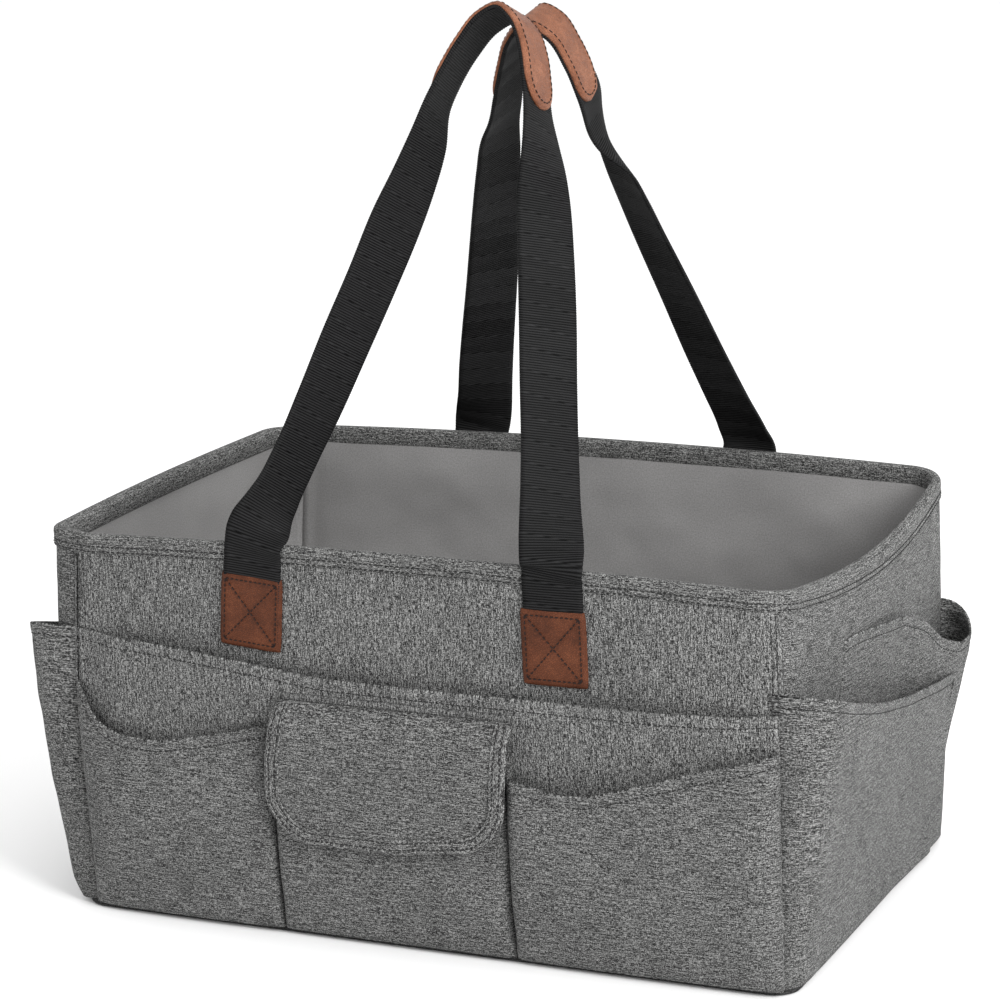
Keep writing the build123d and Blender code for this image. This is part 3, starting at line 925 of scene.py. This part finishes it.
def build_short_wall_pockets(wall):
    """The inner and the outer pocket of one end of the bag."""
    way = 1 if wall == "right" else -1

    def in_order(front, rear):
        """A pair in the order that places run along this wall."""
        return (front, rear) if way > 0 else (rear, front)

    def lip_curve(points):
        return curve(*sorted((way * s, h) for s, h in points))

    def inner_depth(s, h):
        return 0.9 + INNER_SHARE(way * s) * INNER_RISE(h)

    def outer_depth(s, h):
        return np.maximum(OUTER_SHARE(way * s) * OUTER_RISE[wall](h), inner_depth(s, h) + 1.6)

    def outer_landing(s, h):
        return np.where(way * s > 0, inner_depth(s, h) + 0.6, wall_face(wall, s, h) + 0.15)

    def inner_shift(s, h):
        """The inner pocket's front edge slants, forward towards its foot."""
        return -way * 10.0 * np.clip((166 - h) / 60, 0, 1) * ease((-10 - way * s) / 44)

    inner = pocket(
        f"{wall}_end_inner_pocket", wall, in_order(*(way * end for end in INNER_ENDS)),
        lip_curve(INNER_LIP), inner_depth, wall_landing(wall), in_order(3.0, 22.0), 4.2, LEVEL,
        amount=0.5, seed=31, shift=inner_shift,
    )
    outer = pocket(
        f"{wall}_end_outer_pocket", wall, in_order(*(way * end for end in OUTER_ENDS)),
        lip_curve(OUTER_LIP), outer_depth, outer_landing, in_order(OUTER_FRONT_RADIUS[wall], 8.0), 3.2,
        LEVEL, amount=0.9, seed=33, crown=0.8,
    )
    hem_stitches(f"{wall}_end_pocket_stitching", [inner, outer])


# ---------------------------------------------------------------- the flap

FLAP_PIVOT = HINGE["flap"]
FLAP_CLOTH = 1.5
# two points by the flap's pivot: just above it, and a little below it and out from the wall; put takes them
# only as the sign to bake the flap's transform in
FLAP_BEND = (
    (0, FLAP_PIVOT[1] * MM, FLAP_PIVOT[2] * MM + 0.0005),
    (0, FLAP_PIVOT[1] * MM - 0.005, FLAP_PIVOT[2] * MM - 0.006),
)
FLAP_ROOT = -FLAP_PIVOT[1] - HALF_WIDTH  # how far the pivot stands out from the wall
# the flap's run from its pivot: (out from the wall, height)
FLAP_RUN = [
    (FLAP_ROOT, 128.9), (FLAP_ROOT + 3.4, 127.6), (15.2, 124.0), (16.9, 118.5), (17.6, 110.0),
    (17.5, 95.0), (17.0, 78.0), (16.4, 57.0),
]
FLAP_TOP = FLAP_RUN[0][1]
FLAP_ROUND = 25.0  # the radius of its lower corners
FLAP_LEFT = curve((57, -73.5), (80, -76.5), (100, -75.5), (129, -70.5))
FLAP_RIGHT = curve((57, 53.5), (85, 55.0), (110, 57.0), (129, 58.5))
FLAP_FOOT = curve((-80, 57.5), (0, 57.5), (60, 62.5))


def flap_surface(s, h):
    """A settled point of the flap's middle surface."""
    run = np.array(FLAP_RUN)[::-1]
    fine = np.linspace(run[0, 1], run[-1, 1], 200)
    out = np.interp(h, fine, blur(np.interp(fine, run[:, 1], run[:, 0]), 5))
    share = np.clip((s - FLAP_LEFT(h)) / (FLAP_RIGHT(h) - FLAP_LEFT(h)), 0, 1)
    swell = 0.8 * (1 - (2 * share - 1) ** 2) * ease((129 - h) / 30)
    flat = np.stack([s, np.zeros(s.shape), h], axis=-1)
    ripple = 0.5 * noise(flat, (30, 30, 26), 51) * ease((FLAP_TOP - h) / 20)
    curl = 1.3 * ease((82 - h) / 22)  # the lower edge lifts off the pocket
    return on_wall("front", s, h, out + swell + ripple + curl)


def flap_grid():
    """The flap's middle surface, the way that it faces, and its places on the wall.

    Columns run from the foot up to the pivot: round the corner's arc, then straight up.
    """
    share = np.linspace(0, 1, 62)[:, None]
    foot = FLAP_FOOT(-76 + 132 * share)
    arc = FLAP_ROUND * (1 - np.cos(np.linspace(0, math.pi / 2, 18)))
    high = np.linspace(0, 1, 26)[1:]
    above = np.append(arc, np.full(high.shape, FLAP_ROUND))
    rest = np.append(np.zeros(arc.shape), high)
    h = foot + above + (FLAP_TOP - foot - FLAP_ROUND) * rest
    left, right = FLAP_LEFT(h), FLAP_RIGHT(h)
    cut = FLAP_ROUND - np.sqrt(np.maximum(FLAP_ROUND**2 - (FLAP_ROUND - above) ** 2, 0))
    s = left + cut + (right - left - 2 * cut) * share
    rise = flap_surface(s, h + 0.3) - flap_surface(s, h - 0.3)
    facing = unit(np.cross(flap_surface(s + 0.3, h) - flap_surface(s - 0.3, h), rise))
    return flap_surface(s, h), facing, np.stack([s, h], axis=-1)


def flap_edge(middle, facing):
    """The flap's edge, its normal and its way inward: down the left side, round and up the right."""
    edge, normal = (np.concatenate([g[0, ::-1], g[1:-1, 0], g[-1]]) for g in (middle, facing))
    along = lengths(edge)
    places = np.linspace(2.0, along[-1] - 2.0, 260)
    edge, normal = sample(edge, along, places), unit(sample(normal, along, places))
    inward = unit(np.cross(normal, unit(np.gradient(edge, axis=0))))
    return edge, normal, unit(np.stack([blur(column, 5) for column in inward.T], axis=-1))


def build_flap():
    """The flap, its folded binding with two rows of stitches, and its sewn root."""
    middle, facing, uv = flap_grid()
    half = FLAP_CLOTH / 2
    piece = shell("flap_cloth", middle + facing * half, FLAP_CLOTH, uv, cloth_along, facing=facing)
    put(piece, "outer_fabric_level", "pocket_flap", body="flap", bend=FLAP_BEND)
    edge, normal, inward = flap_edge(middle, facing)
    loop = [
        (7.4, half + 0.05), (7.2, half + 0.8), (6.2, half + 0.85), (5.5, half + 0.3), (3.6, half + 1.0),
        (1.8, half + 0.35), (0.4, half + 0.9), (-0.6, half + 0.4), (-1.0, 0.0), (-0.5, -half - 0.35),
        (0.4, -half - 0.6), (7.2, -half - 0.5), (7.4, -half - 0.05), (0.2, -half - 0.04), (-0.1, 0.0),
        (0.2, half + 0.04),
    ]
    binding = sweep("flap_binding_cloth", edge, inward, normal, loop, cloth_up)
    put(binding, "binding_fabric", "flap_binding", body="flap", bend=FLAP_BEND)
    runs = [(edge + inward * reach + normal * (half + 0.4), normal) for reach in (1.8, 5.5)]
    seam = stitches("flap_stitching", runs, 2.7, 0.38, grey_thread_and_seam_shade)
    put(seam, "binding_fabric", body="flap", bend=FLAP_BEND)
    # the sewn root is a flat strip on the long pocket
    s = np.linspace(float(FLAP_LEFT(128.0)) + 1, float(FLAP_RIGHT(128.0)) - 1, 80)
    root = on_wall("front", s, 129.6, long_depth(s, 129.6) + 0.45)
    away, up = (np.repeat([way], len(s), axis=0) for way in ((0.0, -1.0, 0.0), (0.0, 0.0, 1.0)))
    loop = [(-2.4, 0.0), (-2.0, 0.9), (0, 1.2), (2.4, 0.9), (2.9, 0.0)]
    put(sweep("flap_root_seam", root, up, away, loop, cloth_along), "outer_fabric_level")


def build_tapes():
    """Hook tape under the flap, and loop tape on the pocket behind it."""
    for node, material, body, stand, sink in (
        ("flap_hook_tape", hook_tape, "flap", 14.9, 0.9),
        ("pocket_loop_tape", loop_tape, "bag", 13.6, 0.5),
    ):
        low, high = cad(node)
        s = np.linspace(low[0], high[0], 30)
        h = np.linspace(low[2], high[2], 16)
        grid = on_wall("front", s[:, None], h[None], stand)
        grid = grid + normals(grid) * (0.12 * noise(grid, (1.6, 1.6, 1.6), 61))[..., None]
        uv = np.stack(np.broadcast_arrays(s[:, None], h[None]), axis=-1)
        put(shell(f"{node}_pad", grid, sink, uv, material), "hook_and_loop", node, body=body)


# ---------------------------------------------------------------- handles

WEB = 1.6  # thickness of the webbing
WEB_WIDTH = 32.0
STRAP_STAND = -HINGE["front_handle"][1] - HALF_WIDTH  # a strap's middle, out from its wall
PATCH_LOW, PATCH_HIGH = cad("front_right_anchor_patch")
LEAN = math.radians(25.0)  # a standing handle leans in this far
# where each strap is sewn down, along X: its left end and its right end
STRAP_FEET = {"front": (-87.3, 79.5), "back": (-80.5, 84.5)}
# Middle line of each strap above the rim, left to right: along X, up the lean, and how far
# its upper face has turned, in degrees: 0 looks out from the bag, 90 out of the arch and
# 180 back at the bag.
HANDLE_LINES = {
    "front": [
        (-83.4, 2, 176), (-82.0, 8, 156), (-79.3, 17, 126), (-75.6, 28, 112), (-69.7, 47.5, 107),
        (-60, 79, 111), (-51, 111, 115), (-41.6, 143, 116), (-33, 175, 117), (-27.1, 196, 109),
        (-22.4, 217, 100), (-19.6, 239, 86), (-16.0, 250, 84), (-8, 268, 84), (1, 281, 85),
        (11, 286, 85), (20, 280, 85), (27, 268, 86), (32, 252, 87), (36, 236, 86), (40.2, 220, 78),
        (43.6, 205, 67), (46.4, 189, 56), (52, 160, 50), (58, 127, 48), (63, 97, 49), (70, 57, 48),
        (75, 27, 38), (78.6, 8, 16), (79.6, 2, 4),
    ],
    "back": [
        (-79.6, 2, 2), (-77, 10, 14), (-72.3, 26, 32), (-65, 55, 38), (-57.4, 83, 43),
        (-49.6, 111, 48), (-42.7, 138, 54), (-36, 164, 59), (-29, 190, 64), (-24, 209, 71),
        (-18, 223, 78), (-12.5, 240, 82), (-5.5, 257, 81), (2, 272, 80), (11, 280, 79),
        (20, 275, 79), (27, 259, 80), (31, 241, 82), (34.6, 220, 86), (37, 209, 70), (39.3, 199, 45),
        (42.4, 184, 37), (48.9, 155, 32), (55, 130, 28), (61.4, 104, 25), (70.9, 64, 20),
        (77.5, 37, 17), (82, 17, 13), (84.2, 2, 4),
    ],
}
# how strongly each strap curls as it turns: the turn runs ahead on one edge by this share
CURL = {"front": 0.0, "back": -1.0}
RIM_CLEARANCE = 1.8  # a strap passes the rim this much further out than it lies on the wall
RING = 0.42  # spacing of the rings along a strap


def smooth_path(points, spacing):
    """A smooth line through the points, sampled evenly (Catmull-Rom on chord length)."""
    points = np.asarray(points, float)
    chord = lengths(points[:, :3])
    slope = np.gradient(points, chord, axis=0)
    fine = np.arange(0, chord[-1], spacing / 2)
    index = np.clip(np.searchsorted(chord, fine, side="right") - 1, 0, len(chord) - 2)
    width = chord[index + 1] - chord[index]
    t = ((fine - chord[index]) / width)[:, None]
    w = width[:, None]
    a, b, ma, mb = points[index], points[index + 1], slope[index], slope[index + 1]
    line = (
        (2 * t**3 - 3 * t**2 + 1) * a + (t**3 - 2 * t**2 + t) * w * ma
        + (-2 * t**3 + 3 * t**2) * b + (t**3 - t**2) * w * mb
    )
    length = lengths(line[:, :3])
    return sample(line, length, np.linspace(0, length[-1], int(length[-1] / spacing)))


def strap_leg(wall, x, turn):
    """A strap's sewn end, from its patch up to the rim; it slants as its patch is tilted."""
    local = x if wall == "front" else -x
    slant = math.tan(math.radians(PATCH_TILT[wall, "left" if x < 0 else "right"]))
    patch_middle = (PATCH_LOW[2] + PATCH_HIGH[2]) / 2
    return [
        tuple(on_wall(wall, local - slant * (h - patch_middle), h, STRAP_STAND)) + (turn, 0.0)
        for h in np.linspace(PATCH_LOW[2] + 2.5, RIM - 6, 9)
    ]


def strap_course(wall):
    """The strap's middle line, face, direction across, and its turn with the turn's two axes."""
    side = -1 if wall == "front" else 1
    up_lean = np.array([0, -side * math.sin(LEAN), math.cos(LEAN)])
    out_lean = np.array([0, side * math.cos(LEAN), math.sin(LEAN)])
    legs = [
        strap_leg(wall, x, 180.0 if line_end[2] > 90 else 0.0)
        for x, line_end in zip(STRAP_FEET[wall], (HANDLE_LINES[wall][0], HANDLE_LINES[wall][-1]))
    ]
    over = []
    for x, up, turn in HANDLE_LINES[wall]:
        _, y, z = HINGE[f"{wall}_handle"] + up_lean * up
        clear = side * RIM_CLEARANCE * (1 - ease(up / 40))
        over.append((x, y + clear, z + RIM_RISE * 0.8 * (1 - ease(up / 60)), turn, 1.0))
    line = smooth_path(legs[0] + over + legs[1][::-1], RING)
    path, turn, lifted = line[:, :3], np.radians(line[:, 3]), np.clip(line[:, 4:], 0, 1)
    along = unit(np.gradient(path, axis=0))
    flat_out = np.array([0.0, side, 0.0]) * (1 - lifted) + out_lean * lifted
    flat_out = unit(flat_out - along * np.sum(flat_out * along, axis=1, keepdims=True))
    # out of the arch: to -X on the left leg, up at the top, to +X on the right leg
    away = unit(np.cross(flat_out, along)) * side
    away = away * -np.sign(away[: len(away) // 4, 0].mean())
    face = unit(flat_out * np.cos(turn)[:, None] + away * np.sin(turn)[:, None])
    return path, face, unit(np.cross(along, face)), flat_out, away, turn


WEB_SHARES = np.linspace(-1, 1, 13)


def strap_mesh(name, wall, course):
    """The webbing: ribbed rings that curl as they turn, closed at both ends."""
    path, _, _, flat_out, away, turn = course
    count = len(path)
    length = np.arange(count) * RING
    along = unit(np.gradient(path, axis=0))
    half = (WEB_WIDTH - 0.6) / 2
    curled = CURL[wall] * ease((length - length[-1] / 2) / 20)
    lines, facings = [], []
    for share in WEB_SHARES:
        ahead = np.interp(length + curled * share * half, length, turn)
        local = unit(flat_out * np.cos(ahead)[:, None] + away * np.sin(ahead)[:, None])
        lines.append(unit(np.cross(along, local)))
        facings.append(local)
    lines, facings = np.stack(lines, 1), np.stack(facings, 1)
    step = half * (WEB_SHARES[1] - WEB_SHARES[0])
    reach = np.cumsum((lines[:, 1:] + lines[:, :-1]) / 2 * step, axis=1)
    reach = np.concatenate([np.zeros((count, 1, 3)), reach], axis=1)
    middle = len(WEB_SHARES) // 2
    spine = path[:, None] + reach - reach[:, middle : middle + 1]
    wave = (0.16 * np.cos(length / RIB_PITCH * 2 * math.pi))[:, None, None]
    cup = 0.35 * (WEB_SHARES**2)[None, :, None]
    upper = spine + facings * (WEB / 2 - cup + wave)
    lower = spine - facings * (WEB / 2 + cup + wave)
    sides = [spine[:, -1:] + lines[:, -1:] * (0.5 + wave), spine[:, :1] - lines[:, :1] * (0.5 + wave)]
    sides = [side - facings[:, k : k + 1] * 0.35 for side, k in zip(sides, (-1, 0))]
    grid = np.concatenate([upper[:, ::-1], sides[1], lower, sides[0]], axis=1)
    columns = grid.shape[1]
    around = np.concatenate([-WEB_SHARES * half, [-half], WEB_SHARES * half, [half]])
    uv = np.stack(np.broadcast_arrays(around[None], length[:, None]), axis=-1)
    faces = ring_faces(count, columns)
    faces.append(tuple(range(columns))[::-1])
    faces.append(tuple((count - 1) * columns + j for j in range(columns)))
    return make_mesh(name, grid.reshape(-1, 3), faces, webbing_black, uv.reshape(-1, 2))


GRIP = 2.2  # thickness of the grip's leather
GRIP_HALF_LENGTHS = {"front": 59.0, "back": 56.0}
GRIP_CUP = 0.35  # the grip's edges fall this much below its middle line


def build_handle(wall):
    """One strap with its grip."""
    course = strap_course(wall)
    y, z = HINGE[f"{wall}_handle"][1:] * MM
    put(
        strap_mesh(f"{wall}_strap", wall, course), "webbing",
        f"{wall}_handle_webbing", f"{wall}_left_strap_end", f"{wall}_right_strap_end",
        body=f"{wall}_handle", bend=((0, y, z - 0.005), (0, y, z + 0.010)),
    )
    build_grip(wall, *course[:3])


def build_grip(wall, path, face, across):
    """The leather strip over the top of the webbing, with round ends and sewn edges."""
    half_length = GRIP_HALF_LENGTHS[wall]
    half = (WEB_WIDTH - 0.4) / 2
    low = WEB / 2 + 0.12
    along = lengths(path)
    summit = along[np.argmax(path[:, 2])]

    def strip(inset, count, least):
        """The grip's frame and half width, by places along it, drawn in by an inset."""
        places = np.linspace(inset - half_length, half_length - inset, count)
        from_end = half_length - inset - np.abs(places)
        cut = np.clip(from_end, 0, half - inset) / (half - inset)
        reach = (half - inset) * np.sqrt(np.maximum(1 - (1 - cut) ** 2, least))
        axes = [sample(rows, along, summit + places) for rows in (path, face, across)]
        return axes[0], unit(axes[1]), unit(axes[2]), reach[:, None], from_end

    line, out, wide, reach, from_end = strip(0.0, 190, 0.0004)
    shares = np.linspace(-1, 1, 15)
    ring = []
    for share in shares:
        rounded = 1.17 * max(abs(share) - 0.86, 0) / 0.14
        ring.append((share, low + GRIP - rounded - GRIP_CUP * share**2))
    for share in shares[::-1]:
        ring.append((share * 0.995, low - GRIP_CUP * share**2))
    section = np.repeat(np.array(ring)[None, ::-1], len(line), axis=0)
    section[..., 0] *= reach
    ends = np.clip(from_end / 1.6, 0.25, 1)[:, None]
    section[..., 1] = low + (section[..., 1] - low) * np.where(section[..., 1] > low, ends, 1)
    grip = sweep(f"{wall}_grip_leather", line, wide, out, section, grip_leather)
    put(grip, "grip_leather", f"{wall}_handle_grip", body=f"{wall}_handle")
    # stitches a little in from the edge, all the way round
    line, out, wide, reach, _ = strip(3.2, 170, 0.0)
    raised = line + out * (low + GRIP - GRIP_CUP * (reach / half) ** 2 + 0.05)
    loop = np.concatenate([raised + wide * reach, (raised - wide * reach)[::-1]])
    facing = np.concatenate([out, out[::-1]])
    seam = stitches(f"{wall}_grip_stitching", [(loop, facing)], 3.3, 0.36, dark_thread, gap=0.28)
    put(seam, "grip_leather", body=f"{wall}_handle")


# how much higher each patch is sewn on than the frame has it, and its tilt in degrees
PATCH_LIFT = {
    ("front", "left"): 0.2, ("front", "right"): -4.0, ("back", "left"): 0.0, ("back", "right"): 0.0,
}
PATCH_TILT = {
    ("front", "left"): -5.0, ("front", "right"): 0.8, ("back", "left"): 0.6, ("back", "right"): -1.0,
}


def build_patch(wall, side):
    """A leather patch over a strap's sewn end, stitched round its border and corner to corner."""
    node = f"{wall}_{side}_anchor_patch"
    low, high = cad(node)
    foot = STRAP_FEET[wall][0 if side == "left" else 1]
    centre_s = foot if wall == "front" else -foot
    centre_h = (low[2] + high[2]) / 2 + PATCH_LIFT[wall, side]
    half = (high - low)[[0, 2]] / 2
    tilt = math.radians(PATCH_TILT[wall, side])
    turn = np.array([[math.cos(tilt), -math.sin(tilt)], [math.sin(tilt), math.cos(tilt)]])

    def surface(u, w, lift):
        """A point of the patch's face: u and w from -1 to 1, lift off the face."""
        flat = np.stack(np.broadcast_arrays(u * half[0], w * half[1]), -1) @ turn.T
        rim_drop = 1.5 * ease((np.maximum(np.abs(u), np.abs(w) * 0.98) - 0.86) / 0.14)
        return on_wall(wall, centre_s + flat[..., 0], centre_h + flat[..., 1], 3.0 - rim_drop + lift)

    steps = np.linspace(-1, 1, 40)
    u, w = np.meshgrid(steps, steps, indexing="ij")
    corner = 1 - 0.035 * (np.abs(u) * np.abs(w)) ** 8
    grid = surface(u * corner, w * corner, 0.0)
    grid = grid + normals(grid) * (0.12 * noise(grid, (7, 7, 7), 71))[..., None]
    uv = np.stack([u * half[0], w * half[1]], -1)
    put(shell(f"{node}_leather", grid, 1.5, uv, patch_leather, 0.25), "patch_leather", node)
    lift, far = 0.18, 0.83  # of the stitch rows: off the face, and out towards its edge
    line = np.linspace(-far, far, 40)
    edge = np.full(line.shape, far)
    ways = [(line, -edge), (edge, line), (-line, edge), (-edge, -line), (line, line), (line, -line)]
    runs = []
    for pu, pw in ways:
        path = surface(pu, pw, lift)
        runs.append((path, unit(surface(pu, pw, lift + 2) - path)))
    put(stitches(f"{node}_stitching", runs, 2.6, 0.36, dark_thread), "patch_leather")


# ---------------------------------------------------------------- stage

CAMERA_PLACE = (0.7155, -1.6280, 0.6393)
CAMERA_YAW, CAMERA_PITCH, CAMERA_ROLL = 23.96, 13.69, -1.60
LENS = 124.02
FLOOR_HALF = 15.0  # far enough for the floor to fill the view
FLOOR_TONE = 0.985
WORLD_STRENGTH = 1.02
# each light: its place, what it is aimed at, its edge length, and its power
LIGHTS = {
    "key": ((1.95, -1.1, 1.3), (0, 0, 0.15), 1.1, 58),
    "top": ((0.1, 0.3, 2.2), (0, 0, 0.2), 1.2, 6),
}


def stand(name, data, place, right, up, back):
    """Link an object of the stage, its own axes given in the frame's."""
    thing = bpy.data.objects.new(name, data)
    turn = Matrix([[right[k], up[k], back[k]] for k in range(3)])
    thing.matrix_world = Matrix.Translation(place) @ turn.to_4x4()
    bpy.context.scene.collection.objects.link(thing)
    return thing


def build_camera():
    """A camera at the usual front right, three quarter view."""
    yaw, pitch, roll = (math.radians(a) for a in (CAMERA_YAW, CAMERA_PITCH, CAMERA_ROLL))
    forward = np.array([-math.sin(yaw) * math.cos(pitch), math.cos(yaw) * math.cos(pitch), -math.sin(pitch)])
    right = unit(np.cross(forward, [0, 0, 1]))
    up = np.cross(right, forward)
    right, up = (
        math.cos(roll) * right + math.sin(roll) * up,
        -math.sin(roll) * right + math.cos(roll) * up,
    )
    data = bpy.data.cameras.new("camera")
    data.lens = LENS
    data.sensor_width = 36.0
    data.clip_end = 60
    bpy.context.scene.camera = stand("camera", data, CAMERA_PLACE, right, up, -forward)


def build_floor():
    n = Nodes("floor_paper")
    n.set(Base_Color=(FLOOR_TONE, FLOOR_TONE, FLOOR_TONE, 1), Roughness=0.9, Specular_IOR_Level=0.1)
    mesh = bpy.data.meshes.new("floor")
    corners = [(x * FLOOR_HALF, y * FLOOR_HALF, 0) for x, y in ((-1, -1), (1, -1), (1, 1), (-1, 1))]
    mesh.from_pydata(corners, [], [(0, 1, 2, 3)])
    mesh.materials.append(n.material)
    stand("floor", mesh, (0, 0, 0), (1, 0, 0), (0, 1, 0), (0, 0, 1))


def build_light():
    world = bpy.data.worlds.new("studio")
    world.use_nodes = True
    background = world.node_tree.nodes["Background"]
    background.inputs["Color"].default_value = (1, 1, 1, 1)
    background.inputs["Strength"].default_value = WORLD_STRENGTH
    bpy.context.scene.world = world
    for name, (place, target, size, power) in LIGHTS.items():
        data = bpy.data.lights.new(name, "AREA")
        data.shape = "RECTANGLE"
        data.size = data.size_y = size
        data.energy = power
        back = unit(np.array(place, float) - np.array(target, float))
        side = unit(np.cross([0, 0, 1], back))
        stand(name, data, place, side, np.cross(back, side), back)
    bpy.context.scene.view_settings.view_transform = "Standard"


build_camera()
build_floor()
build_light()
build_box()
build_base()
build_rim()
build_corner_seams()
for long_wall in LONG_WALLS:
    build_long_wall_pockets(long_wall)
    build_handle(long_wall)
    for strap_side in ("left", "right"):
        build_patch(long_wall, strap_side)
for short_wall in ("right", "left"):
    build_short_wall_pockets(short_wall)
build_flap()
build_tapes()
